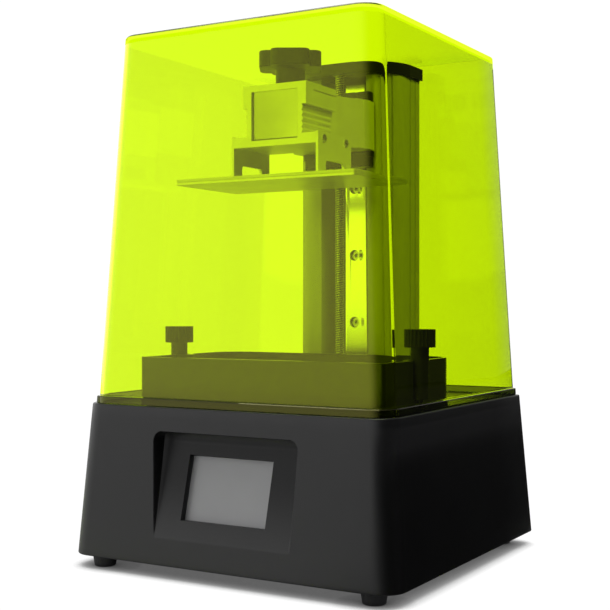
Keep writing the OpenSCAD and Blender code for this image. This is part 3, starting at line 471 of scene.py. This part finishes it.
FINISH = {
    "shell": moulded("shell_plastic", BLACK, SHELL_ROUGH, depth=0.03, specular=SHELL_GLOSS),
    "recess": recess_with_painted_shade("recess_plastic_painted_shade", BLACK, SHELL_ROUGH, SHELL_GLOSS, RECESS_SHADE_GLOSS),
    "vat": moulded("vat_plastic", BLACK, 0.3, grain=2200, depth=0.03, coat=0.6),
    "black": moulded("black_plastic", BLACK, 0.36, grain=3000, depth=0.03, specular=0.42),
    "knob": moulded("knob_plastic", BLACK, 0.4, grain=2400, depth=0.04, specular=0.4),
    "thumb": moulded("thumbscrew_plastic", (0.004, 0.004, 0.0042), 0.45, grain=3000, depth=0.03,
                     specular=0.25),
    "deck": moulded("deck_enamel", (0.008, 0.008, 0.009), 0.12, grain=900, depth=0.01),
    "rubber": moulded("foot_rubber", (0.014, 0.014, 0.015), 0.72, grain=1500, depth=0.06),
    "powder": moulded("powder_coat", (0.03, 0.03, 0.032), 0.5, grain=1400, depth=0.08),
    "alloy": blasted("blasted_alloy", (0.74, 0.75, 0.76), 0.38, metal=0.7),
    "profile": brushed("column_profile", (0.32, 0.325, 0.33), 0.3, metal=0.3, depth=0.001),
    "plate": blasted("anodised_plate", (0.6, 0.61, 0.62), 0.36, metal=0.7),
    "surface": blasted("textured_surface", (0.72, 0.73, 0.74), 0.34, metal=0.8, scale=1400),
    "steel": brushed("plated_steel", (0.6, 0.61, 0.62), 0.28, EVEN, 900),
    # painted shade: the darker metal for the thread's roots
    "groove": brushed("thread_root_painted_shade", (0.16, 0.16, 0.16), 0.3, EVEN, 900, metal=0.5),
    "rail": brushed("ground_rail", (0.8, 0.81, 0.82), 0.12, scale=4200, depth=0.001, spread=0.03),
    "brass": brushed("turned_brass", (0.62, 0.44, 0.18), 0.32, (1, 1, 0.2), 1200),
    "board": circuit("solder_mask", (0.01, 0.07, 0.03)),
    "lens": moulded("moulded_lens", (0.72, 0.75, 0.78), 0.15, depth=0.01),
    "glass": moulded("black_glass", (0.008, 0.008, 0.011), 0.08, depth=0.005, coat=0.5),
    "screen": moulded("screen_film", (0.26, 0.26, 0.264), 0.3, grain=4000, depth=0.01, spread=0.04),
    "ribbon": brushed("flat_cable", (0.5, 0.24, 0.05), 0.4, (0.02, 1, 1), 700, metal=0.0),
    "film": moulded("release_film", (0.6, 0.63, 0.66), 0.2, depth=0.01),
    "cover": acrylic("lime_acrylic", LIME),
    "cover_top": acrylic("lime_acrylic_top", LIME, clear_from=0.45),
    "cover_edge": acrylic("lime_acrylic_edge", LIME, clear_from=-0.3),
    # the same acrylic with a painted dark tint, for the rim and the front-top edge
    "cover_rim_painted_dark": acrylic("lime_acrylic_rim_painted_dark", RIM_PAINTED_DARK_LIME),
}

NODE_FINISH = {
    "bottom_plate": "powder", "bottom_screws": "steel", "rubber_feet": "rubber",
    "deck_plate": "deck", "deck_screws": "steel", "screw_inserts": "brass", "lcd_panel": "glass",
    "lcd_cover_glass": "glass", "light_box": "black", "led_board": "board", "led_lenses": "lens",
    "heat_sink": "alloy", "fan_frame": "black", "fan_rotor": "black", "mainboard": "board",
    "board_posts": "brass", "rear_panel": "powder", "rear_panel_screws": "steel",
    "power_socket": "black", "switch_body": "black", "power_rocker": "black", "usb_socket": "steel",
    "touch_panel": "screen", "touch_frame": "black", "display_board": "board", "lcd_ribbon": "ribbon",
    "z_column": "profile", "column_cap": "black", "linear_rail": "rail", "rail_screws": "steel",
    "stepper_motor": "powder", "motor_posts": "steel", "end_stop": "black", "screw_bearing": "steel",
    "shaft_coupler": "alloy", "motor_shaft": "steel", "column_screws": "steel", "guide_block": "rail",
    "guide_block_caps": "black", "carriage_arm": "alloy", "arm_upper_cover": "black",
    "arm_lower_cover": "black", "arm_screws": "steel", "lead_nut": "brass", "platform_head": "alloy",
    "platform_brackets": "alloy", "bracket_screws": "steel", "platform_plate": "plate",
    "platform_surface": "surface", "knob_stud": "steel", "vat_tray": "vat", "vat_film": "film",
    "film_frame": "plate", "film_screws": "steel", "thumbscrew_left": "thumb",
    "thumbscrew_right": "thumb",
}

# Width in millimetres of the softened edges of those CAD nodes that have them
SOFT_EDGE = {
    "vat_tray": 0.9, "z_column": 0.35, "column_cap": 1.0, "platform_head": 0.5,
    "platform_brackets": 0.3, "platform_plate": 0.4, "platform_surface": 0.4, "carriage_arm": 0.8,
    "arm_upper_cover": 0.6, "arm_lower_cover": 0.6, "thumbscrew_left": 0.4, "thumbscrew_right": 0.4,
    "linear_rail": 0.3, "guide_block": 0.5, "guide_block_caps": 0.6, "rubber_feet": 0.8,
    "deck_plate": 0.3, "rear_panel": 0.3, "fan_frame": 0.4, "fan_rotor": 0.3, "switch_body": 0.4,
    "power_rocker": 0.5, "power_socket": 0.3, "stepper_motor": 0.6, "shaft_coupler": 0.4,
    "heat_sink": 0.3, "bottom_plate": 0.3, "light_box": 0.4, "film_frame": 0.4, "touch_frame": 0.3,
    "usb_socket": 0.2, "touch_panel": 0.2, "lcd_cover_glass": 0.3,
}


# ---------- base shell ----------

STRETCH_FROM, STRETCH_TO = 46 * MM, 110 * MM    # between these, the columns follow the recess's sides
WALL_COLUMNS = [(60 + 0.4 * i) * MM for i in range(15)]
OUTER_COLUMNS = [v * MM for v in (67, 70, 76, 85, 96, 110)]
FRONT_COLUMNS = [v * MM for v in (0, 12, 25)] + [WINDOW_HALF] + [v * MM for v in (46, 52, 56, 59)]
FRONT_COLUMNS += WALL_COLUMNS + OUTER_COLUMNS   # from the middle to the right
BACK_COLUMNS = [v * MM for v in (-120, -105, -80, -40, 0, 40, 80, 105, 120)]


def base_at(z):
    """Half width and half depth of the base's outside at height z."""
    lean = BASE_LEAN * (z - BASE_LOW.z) / (BASE_HIGH.z - BASE_LOW.z)
    return BASE_HIGH.x - lean, BASE_HIGH.y - lean


def ease(t):
    t = max(0.0, min(1.0, t))
    return t * t * (3 - 2 * t)


def recess_half(z):
    share = (z - RECESS_LOW) / (RECESS_TOP - RECESS_LOW)
    return RECESS_HALF_LOW + (RECESS_HALF_TOP - RECESS_HALF_LOW) * share


def beside_fillet(fillet, distance, reach):
    """Share of the full depth at a distance from a wall whose fillet has this reach."""
    return 1 - fillet * (1 - min(1, distance / reach)) ** 2


def recess_depth(x, z):
    """How far the front face is pressed in at (x, z): a tilted panel with soft walls."""
    panel = PANEL_Y + (z - PANEL_Z) * math.tan(SCREEN_TILT) + base_at(z)[1]
    side = recess_half(z) - abs(x)
    top = RECESS_TOP - z
    inside = min(side, top)
    if side < RECESS_R and top < RECESS_R:
        inside = RECESS_R - math.hypot(RECESS_R - side, RECESS_R - top)
    if panel <= 0 or inside <= 0:
        return 0.0
    by_side = beside_fillet(SIDE_FILLET, side, 0.5 * panel + 1 * MM)
    by_top = beside_fillet(TOP_FILLET, top, TOP_FILLET_H)
    return panel * ease(inside / RECESS_LIP) * by_side * by_top


def front_columns(z):
    """Points across the front face at height z, from left to right."""
    wall = recess_half(z)
    right = []
    for x in FRONT_COLUMNS:
        if STRETCH_FROM < x <= RECESS_HALF_TOP:
            stretch = (wall - STRETCH_FROM) / (RECESS_HALF_TOP - STRETCH_FROM)
            x = STRETCH_FROM + (x - STRETCH_FROM) * stretch
        elif RECESS_HALF_TOP < x < STRETCH_TO:
            share = (x - RECESS_HALF_TOP) / (STRETCH_TO - RECESS_HALF_TOP)
            x = wall + (STRETCH_TO - wall) * share
        right.append(x)
    return [-x for x in reversed(right[1:])] + right


def base_heights():
    """Heights of the housing's rings: close together at the ends of the recess, and one at each edge
    of the window and of the rear opening."""
    below = [BASE_LOW.z + EDGE_R, 14 * MM, 20 * MM, REAR_LOW, RECESS_LOW]
    recess = steps(31 * MM, 45 * MM, 10) + [WINDOW_LOW] + steps(50 * MM, 90 * MM, 16) + [WINDOW_HIGH]
    recess_end = steps(96 * MM, 109 * MM, 26) + [REAR_HIGH] + steps(110.2 * MM, 113 * MM, 9)
    above = [116 * MM, 121 * MM, BASE_HIGH.z - EDGE_R]
    return below + recess + recess_end + above


def base_ring(z, inset):
    """The housing's outline at height z, moved in by inset, with the recess pressed into its front."""
    half_w, half_d = base_at(z)
    r_front, r_back = max(LEAST_R, FRONT_R - inset), max(LEAST_R, BACK_R - inset)
    columns = front_columns(z)
    ring = plan(half_w - inset, -half_d + inset, half_d - inset, r_front, r_back, columns, BACK_COLUMNS)
    front = [(x, y + recess_depth(x, z), z) for x, y in ring[:len(columns)]]
    return front + [(x, y, z) for x, y in ring[len(columns):]]


def pocket_ring(inset, radius, z):
    """Outline of the pocket for the deck plate, moved in by inset."""
    half_w, half_d = DECK_HIGH.x - inset, DECK_HIGH.y - inset
    ring = plan(half_w, -half_d, half_d, radius, radius, front_columns(z), BACK_COLUMNS)
    return [(x, y, z) for x, y in ring]


def spans(values, lowest, highest):
    """Indices of the steps between neighbouring values that lie from lowest to highest."""
    close = 1e-6
    return [i for i in range(len(values) - 1)
            if values[i] > lowest - close and values[i + 1] < highest + close]


def border(rows, cols):
    """Corners round a block of cells, in order."""
    low, high = rows[0], rows[-1] + 1
    left, right = cols[0], cols[-1] + 1
    corners = [(low, c) for c in range(left, right)]
    corners += [(r, right) for r in range(low, high)]
    corners += [(high, c) for c in range(right, left, -1)]
    return corners + [(r, left) for r in range(high, low, -1)]


def in_recess(face):
    """Whether a face is on the housing's outside and inside its recess."""
    x, y, z = face.center
    at_front = y < -base_at(z)[1] + RECESS_REACH and face.normal.y < 0.5
    return at_front and recess_depth(x, z) > 0.02 * MM


def shell_rings(heights):
    """Rings of the hollow housing: its foot, its outside, its rim with the ledge, and its inside."""
    low, high, ledge = BASE_LOW.z, BASE_HIGH.z, DECK_LOW.z
    rounding = quarter(EDGE_R, (15, 30, 45, 60, 75))
    foot = [base_ring(low, BASE_WALL), base_ring(low, EDGE_R)]
    foot += [base_ring(low + up, inwards) for up, inwards in reversed(rounding)]
    outer = [base_ring(z, 0) for z in heights]
    rim = [base_ring(high - down, inwards) for down, inwards in rounding]
    rim += [pocket_ring(0, POCKET_R, high), pocket_ring(0, POCKET_R, ledge)]
    rim += [pocket_ring(LEDGE_W, LEDGE_R, ledge), pocket_ring(LEDGE_W, LEDGE_R, ledge - LEDGE_T)]
    rim += [base_ring(ledge - LEDGE_T, BASE_WALL)]
    inner = [base_ring(z, BASE_WALL) for z in reversed(heights[:-1])]
    return foot, outer, rim, inner


def shell_openings(heights):
    """Rows and columns of the cells left open: the screen's window and the rear opening."""
    columns = front_columns(BASE_LOW.z)
    back_start = len(columns) + (CORNER_STEPS + 1) + (SIDE_STEPS - 1) + (BACK_CORNER_STEPS + 1)
    rear_cols = [back_start + i for i in spans(BACK_COLUMNS, -REAR_HALF, REAR_HALF)]
    return [
        (spans(heights, WINDOW_LOW, WINDOW_HIGH), spans(columns, -WINDOW_HALF, WINDOW_HALF)),
        (spans(heights, REAR_LOW, REAR_HIGH), rear_cols),
    ]


def base_shell():
    """Hollow housing, with walls through its thickness round both openings."""
    heights = base_heights()
    foot, outer, rim, inner = shell_rings(heights)
    rows = foot + outer + rim + inner
    count = len(rows[0])

    def outer_row(i):
        return len(foot) + i

    def inner_row(i):
        return len(rows) - 1 - i

    openings = shell_openings(heights)
    open_cells = set()
    for hole_rows, hole_cols in openings:
        for i in hole_rows:
            for c in hole_cols:
                open_cells.add((outer_row(i), c))
                open_cells.add((inner_row(i + 1), c))
    verts, faces = loft(rows, True, lambda row, col: (row, col) in open_cells)
    for hole_rows, hole_cols in openings:
        loop = border(hole_rows, hole_cols)
        for (i, c), (j, d) in zip(loop, loop[1:] + loop[:1]):
            faces.append((outer_row(i) * count + c, outer_row(j) * count + d,
                          inner_row(j) * count + d, inner_row(i) * count + c))
    shell = from_faces("base_housing", verts, faces, sharp=50)
    stand_in(shell, "base_shell", "shell", "recess")
    # the recess's faces take the plastic whose fading gloss paints shade near its top
    for face in shell.data.polygons:
        face.material_index = 1 if in_recess(face) else 0


# ---------- cover ----------

def hood_ring(up, inset):
    """Ring of the cover at height up above the deck, set in from its outer face by inset."""
    share = up / (HOOD_HIGH.z - HOOD_LOW.z)
    half_w = HOOD_HALF_LOW[0] + (HOOD_HALF_TOP[0] - HOOD_HALF_LOW[0]) * share - inset
    half_d = HOOD_HALF_LOW[1] + (HOOD_HALF_TOP[1] - HOOD_HALF_LOW[1]) * share - inset
    shift = HOOD_SHIFT * share
    r_front = max(HOOD_LEAST_R, HOOD_FRONT_R - inset)
    r_back = max(HOOD_LEAST_R, HOOD_BACK_R - inset)
    front_x = steps(-half_w + r_front, half_w - r_front, 10)[1:-1]
    back_x = steps(-half_w + r_back, half_w - r_back, 10)[1:-1]
    ring = plan(half_w, shift - half_d, shift + half_d, r_front, r_back, front_x, back_x,
                corner=24, side=6)
    return [(x, y, HOOD_LOW.z + up) for x, y in ring]


def hood_outside(height):
    """(height above the deck, inset) of the rings from the wall's foot up the outside to the top."""
    rim_edge, fillet = 0.5 * MM, 0.6 * MM
    rings = [(0, HOOD_WALL), (0, rim_edge - HOOD_RIM_OUT), (rim_edge, -HOOD_RIM_OUT)]
    rings += [(HOOD_RIM - fillet, -HOOD_RIM_OUT), (HOOD_RIM, fillet - HOOD_RIM_OUT)]
    rings += [(HOOD_RIM + 0.1 * MM, -0.2 * MM), (HOOD_RIM + fillet, 0), (HOOD_RIM + 2 * fillet, 0)]
    rings += [(up, 0) for up in steps(HOOD_RIM + 20 * MM, height - HOOD_EDGE, 8)]
    rings += [(height - HOOD_TOP_R, 0)]
    rounding = quarter(HOOD_TOP_R, (10, 25, 40, 55, 70, 82))
    rings += [(height - down, inwards) for down, inwards in rounding]
    return rings + [(height, HOOD_TOP_R)]


def hood_inside(height):
    """(height above the deck, inset) of the rings from the ceiling down the inside."""
    ceiling, fillet = height - HOOD_ROOF, 1.5 * MM
    rings = [(ceiling, HOOD_WALL + fillet), (ceiling - fillet / 3, HOOD_WALL + fillet / 3)]
    rings += [(ceiling - fillet, HOOD_WALL), (height - HOOD_EDGE, HOOD_WALL)]
    return rings + [(up, HOOD_WALL) for up in reversed(steps(1 * MM, ceiling - 10 * MM, 8))]


def acrylic_of(face):
    """Which of the cover's four acrylics a face has: 0 plain, 1 top, 2 edge, 3 rim.

    The rim, and the rounded edge between the front and the top, are seen along their length and look
    dark; that shade is painted on them as a darker tint. The band under the top is kept free of mirror
    images.
    """
    height, normal = face.center.z, face.normal
    # the rim and the front-top edge get the painted dark tint
    if height < HOOD_LOW.z + HOOD_RIM + 0.3 * MM or (normal.z > 0.45 and normal.y < -0.3):
        return 3
    if height <= HOOD_HIGH.z - HOOD_EDGE:
        return 0
    large = face.area > 1e-3
    away = normal.x < -0.1 or normal.y > 0.1
    return 1 if large or (normal.z > 0.12 and not away) else 2


def hood():
    """Thin-walled cover, open below, with a flat top and a flat ceiling."""
    height = HOOD_HIGH.z - HOOD_LOW.z
    outside, inside = hood_outside(height), hood_inside(height)
    rows = [hood_ring(up, inset) for up, inset in outside + inside]
    count = len(rows[0])
    top, ceiling = len(outside) - 1, len(outside)
    verts, faces = loft(rows, True, lambda row, col: row == top)
    faces += [lid(top, count), lid(ceiling, count, flipped=True)]
    cover = from_faces("tinted_cover", verts, faces, sharp=30)
    stand_in(cover, "hood", "cover", "cover_top", "cover_edge", "cover_rim_painted_dark")
    for face in cover.data.polygons:
        face.material_index = acrylic_of(face)


# ---------- drive ----------

def thread_radius(z, turn):
    """Radius of the rolled thread at height z; turn is the share of a revolution round the screw."""
    phase = ((z - turn * THREAD_LEAD) / THREAD_PITCH) % 1.0
    off_groove = 2 * abs(phase - 0.5)
    tooth = min(1.0, max(0.0, THREAD_FLANK * off_groove - THREAD_FLAT))
    return ROOT_R + (SCREW_R - ROOT_R) * tooth


def lead_screw():
    """Threaded rod whose thread roots are painted darker as shade, with a plain journal at the top."""
    cx, cy = (SCREW_LOW.x + SCREW_HIGH.x) / 2, (SCREW_LOW.y + SCREW_HIGH.y) / 2
    low, high = SCREW_LOW.z, SCREW_HIGH.z - JOURNAL_L
    around = 28
    rings_per_pitch = 5
    count = int((high - low) / (THREAD_PITCH / rings_per_pitch))
    turns = [k / around for k in range(around)]
    rows = [turned_ring(cx, cy, low, [ROOT_R] * around)]
    for z in steps(low, high, count):
        rows.append(turned_ring(cx, cy, z, [thread_radius(z, turn) for turn in turns]))
    for z in (high + 0.01 * MM, SCREW_HIGH.z):
        rows.append(turned_ring(cx, cy, z, [JOURNAL_R] * around))
    screw = from_faces("threaded_screw", *closed_loft(rows), sharp=60)
    stand_in(screw, "lead_screw", "steel", "groove")
    # the small faces deep in the thread take the darker metal, painted shade in the roots
    for face in screw.data.polygons:
        reach = math.hypot(face.center.x - cx, face.center.y - cy)
        in_shaded_root = reach < (ROOT_R + SCREW_R) / 2 and face.area < 1e-5
        face.material_index = 1 if in_shaded_root else 0


def knob_radius(angle):
    """Plan radius of two crossed round-cornered bars, with a fillet where they meet."""
    end, side = KNOB_HALF_L - KNOB_R, KNOB_HALF_W - KNOB_R
    reach = []
    for turn in (KNOB_TURN, KNOB_TURN + math.pi / 2):
        c, s = abs(math.cos(angle - turn)), abs(math.sin(angle - turn))
        if s * KNOB_HALF_L <= c * side:
            reach.append(KNOB_HALF_L / c)
        elif c * KNOB_HALF_W <= s * end:
            reach.append(KNOB_HALF_W / s)
        else:
            along = end * c + side * s
            reach.append(along + math.sqrt(along ** 2 - end ** 2 - side ** 2 + KNOB_R ** 2))
    return max(reach) + KNOB_FILLET * math.log1p(math.exp(-abs(reach[0] - reach[1]) / KNOB_FILLET))


def clamp_knob():
    """Grip of four broad lobes on a round hub, with softened rims and a groove round its button."""
    centre = (KNOB_LOW + KNOB_HIGH) / 2
    grip, top = KNOB_LOW.z + HUB_H, KNOB_HIGH.z
    around = 240
    lobes = [knob_radius(k / around * math.tau) for k in range(around)]
    rounding = quarter(KNOB_SOFT, (0, 20, 40, 60, 80, 90))

    def round_ring(z, radius):
        return turned_ring(centre.x, centre.y, z, [radius] * around)

    def lobed_ring(z, shrink):
        return turned_ring(centre.x, centre.y, z, [r - shrink for r in lobes])

    rows = [round_ring(KNOB_LOW.z, HUB_R - HUB_CHAMFER), round_ring(KNOB_LOW.z + HUB_CHAMFER, HUB_R)]
    rows += [round_ring(grip - 0.6 * HUB_FLARE, HUB_R)]
    rows += [round_ring(grip - 0.15 * HUB_FLARE, HUB_R + 0.3 * HUB_FLARE)]
    rows += [round_ring(grip, HUB_R + HUB_FLARE)]
    rows += [lobed_ring(grip + 0.6 * inwards, down) for down, inwards in rounding]
    rows += [lobed_ring(top - down, inwards) for down, inwards in rounding]
    rows += [round_ring(top, GROOVE_OUT_R), round_ring(top - GROOVE_DEPTH, GROOVE_R)]
    rows += [round_ring(top - GROOVE_DEPTH, BUTTON_R), round_ring(top - BUTTON_DROP, BUTTON_TOP_R)]
    knob = from_faces("lobed_knob", *closed_loft(rows), sharp=45)
    stand_in(knob, "clamp_knob", "knob")


# ---------- stage, light and camera ----------

def camera():
    """The photograph's point of view, solved from the straight edges of the base and the cover."""
    data = bpy.data.cameras.new("camera")
    data.lens, data.sensor_width = CAMERA_LENS, CAMERA_SENSOR
    data.shift_x, data.shift_y = CAMERA_SHIFT
    obj = linked("camera", data)
    obj.location = CAMERA_PLACE
    obj.rotation_euler = (math.radians(90 - CAMERA_DIP), 0, math.radians(CAMERA_TURN))
    bpy.context.scene.camera = obj


def area_light(name, place, target, size, power, mirrored=True):
    data = bpy.data.lights.new(name, "AREA")
    data.shape = "RECTANGLE"
    data.size, data.size_y = size
    data.energy = power
    obj = linked(name, data)
    obj.location = place
    obj.visible_glossy = mirrored
    aim = Vector(target) - Vector(place)
    obj.rotation_euler = aim.to_track_quat("-Z", "Y").to_euler()


def stage_sheet(name, xs, ys, z, material):
    """Level rectangle of the stage, between two x and two y values."""
    mesh = bpy.data.meshes.new(name)
    corners = [(xs[0], ys[0], z), (xs[1], ys[0], z), (xs[1], ys[1], z), (xs[0], ys[1], z)]
    mesh.from_pydata(corners, [], [(0, 1, 2, 3)])
    mesh.materials.append(material)
    obj = linked(name, mesh)
    return obj


def flag(name, xs, ys, z, shades=True):
    """Black card that takes away the light from its side. The camera doesn't see it."""
    card = principled(name + "_card", (0.01, 0.01, 0.01), 0.9, specular=0.0)[0]
    obj = stage_sheet(name, xs, ys, z, card)
    obj.visible_camera = False
    obj.visible_transmission = False
    obj.visible_shadow = shades


def background():
    """A white backdrop for the camera and through the cover; the light comes from the front left."""
    world = bpy.data.worlds.new("studio")
    bpy.context.scene.world = world
    world.use_nodes = True
    tree = world.node_tree
    tree.nodes.clear()
    direction = tree.nodes.new("ShaderNodeTexCoord").outputs["Generated"]
    facing = tree.nodes.new("ShaderNodeVectorMath")
    facing.operation = "DOT_PRODUCT"
    facing.inputs[1].default_value = Vector(LIGHT_FROM).normalized()
    tree.links.new(direction, facing.inputs[0])
    across = to_range(tree, facing.outputs["Value"], DARK_SIDE, BRIGHT_SIDE, *SIDE_FADE, smooth=True)
    above = to_range(tree, upwards(tree, direction), 1, UPPER_SHARE, *UPPER_FADE, smooth=True)
    room = tree.nodes.new("ShaderNodeBackground")
    tree.links.new(maths(tree, "MULTIPLY", across, above), room.inputs["Strength"])
    white = tree.nodes.new("ShaderNodeBackground")
    white.inputs["Strength"].default_value = BACKDROP
    for node in (room, white):
        node.inputs["Color"].default_value = (1, 1, 1, 1)
    sink = tree.nodes.new("ShaderNodeOutputWorld")
    mixed(tree, ray_kinds(tree, "Is Camera Ray", "Is Transmission Ray"), room, white, sink)


def floor():
    """White paper. The camera sees a glow with a painted contact shadow, which darkens it close to the
    object, where the object hides the room from it.
    """
    material, tree, shader = principled("floor_paper", (0.5, 0.5, 0.5), 0.9, specular=0.0)
    hidden = tree.nodes.new("ShaderNodeAmbientOcclusion")
    hidden.inputs["Distance"].default_value = PAINTED_SHADOW_REACH
    hidden.samples = 16
    # painted contact shadow: the glow's colour follows the ambient occlusion
    painted_shadow_greys = [(0.1, (0.03, 0.03, 0.03)), (0.45, (0.3, 0.3, 0.3)), (0.8, (1, 1, 1))]
    glow = tree.nodes.new("ShaderNodeEmission")
    glow.inputs["Strength"].default_value = BACKDROP
    tree.links.new(ramp(tree, hidden.outputs["AO"], painted_shadow_greys), glow.inputs["Color"])
    sink = tree.nodes["Material Output"]
    mixed(tree, ray_kinds(tree, "Is Camera Ray", "Is Transmission Ray"), shader, glow, sink)
    stage_sheet("floor", (-FLOOR_HALF, FLOOR_HALF), (-FLOOR_HALF, FLOOR_HALF), 0, material)


def studio():
    """Soft light from above, in a room that is bright at the front left. The fills lift the right
    side of the column and of the base. The flags keep the base's right side nearly dark: one shades
    it, the other covers the pale floor beside it."""
    camera()
    background()
    floor()
    area_light("top_softbox", place=(-0.3, 0.1, 2.0), target=(0, 0, 0.2), size=(1.4, 1.4), power=20)
    area_light("right_fill", place=(1.2, 0.1, 1.6), target=(0, 0, 0.25), size=(0.7, 0.7), power=48,
               mirrored=False)
    area_light("low_fill", place=(1.0, 0.1, 0.06), target=(0.15, 0.1, 0.06), size=(0.8, 0.08), power=5,
               mirrored=False)
    flag("right_flag", (BESIDE_BASE, 1.4), (-0.8, 0.9), FLAG_HEIGHT)
    flag("floor_flag", (BESIDE_BASE, FLOOR_HALF), (-1.5, FLOOR_HALF), 0.8 * MM, shades=False)


# ---------- build ----------

studio()

REMADE = {"base_shell": base_shell, "hood": hood, "lead_screw": lead_screw, "clamp_knob": clamp_knob}
for build in REMADE.values():
    build()

for node, obj in frame["nodes"].items():
    if node in SOFT_EDGE:
        softened(node, SOFT_EDGE[node] * MM, NODE_FINISH[node])
    elif node not in REMADE:
        set_finishes(obj, NODE_FINISH[node])

bpy.context.scene.view_settings.view_transform = "Standard"
bpy.context.view_layer.update()
